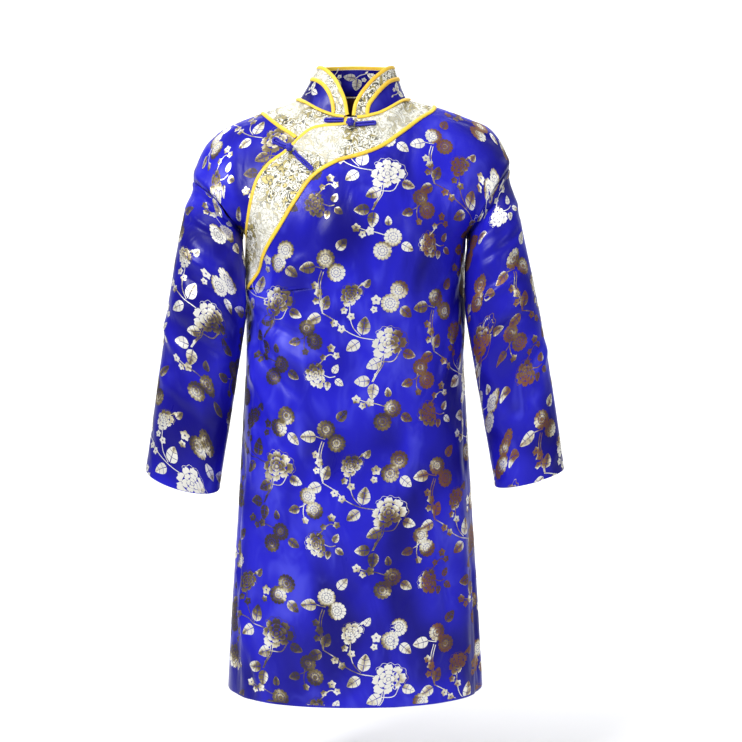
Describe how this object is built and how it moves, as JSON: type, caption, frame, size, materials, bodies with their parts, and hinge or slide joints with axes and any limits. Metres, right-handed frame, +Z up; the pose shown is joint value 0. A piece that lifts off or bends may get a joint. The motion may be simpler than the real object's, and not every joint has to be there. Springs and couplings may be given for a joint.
{
  "type": "burial robe",
  "caption": "Long padded satin robe with a stand collar, a slanting lap closed by cord knot buttons, brocade yoke and trim, straight sleeves and an open hem.",
  "frame": {"origin": "middle of the neck, at the height where the collar meets the shoulders", "axes": "+Z up along the robe, +Y from the front to the back, +X towards the wearer's left sleeve"},
  "size_m": [0.8365, 0.3452, 1.2568],
  "materials": {
    "satin": "satin weave with foil-printed flowers",
    "brocade": "cream and gold figured brocade",
    "yellow_trim": "yellow satin binding",
    "cord": "blue satin cord"
  },
  "bodies": {
    "root": {"lap_front": "satin", "right_front": "satin", "back": "satin", "right_sleeve": "satin", "left_sleeve": "satin", "collar": "satin", "collar_band": "brocade", "lap_band": "brocade", "right_yoke": "brocade", "back_yoke": "brocade", "collar_edge": "yellow_trim", "collar_band_piping": "yellow_trim", "neck_piping": "yellow_trim", "lap_edge": "yellow_trim", "lap_band_piping": "yellow_trim", "right_yoke_piping": "yellow_trim", "back_yoke_piping": "yellow_trim", "neck_button_knot": "cord", "neck_button_right_bar": "cord", "neck_button_left_bar": "cord", "chest_button_knot": "cord", "chest_button_right_bar": "cord", "chest_button_left_bar": "cord"}
  },
  "joints": []
}
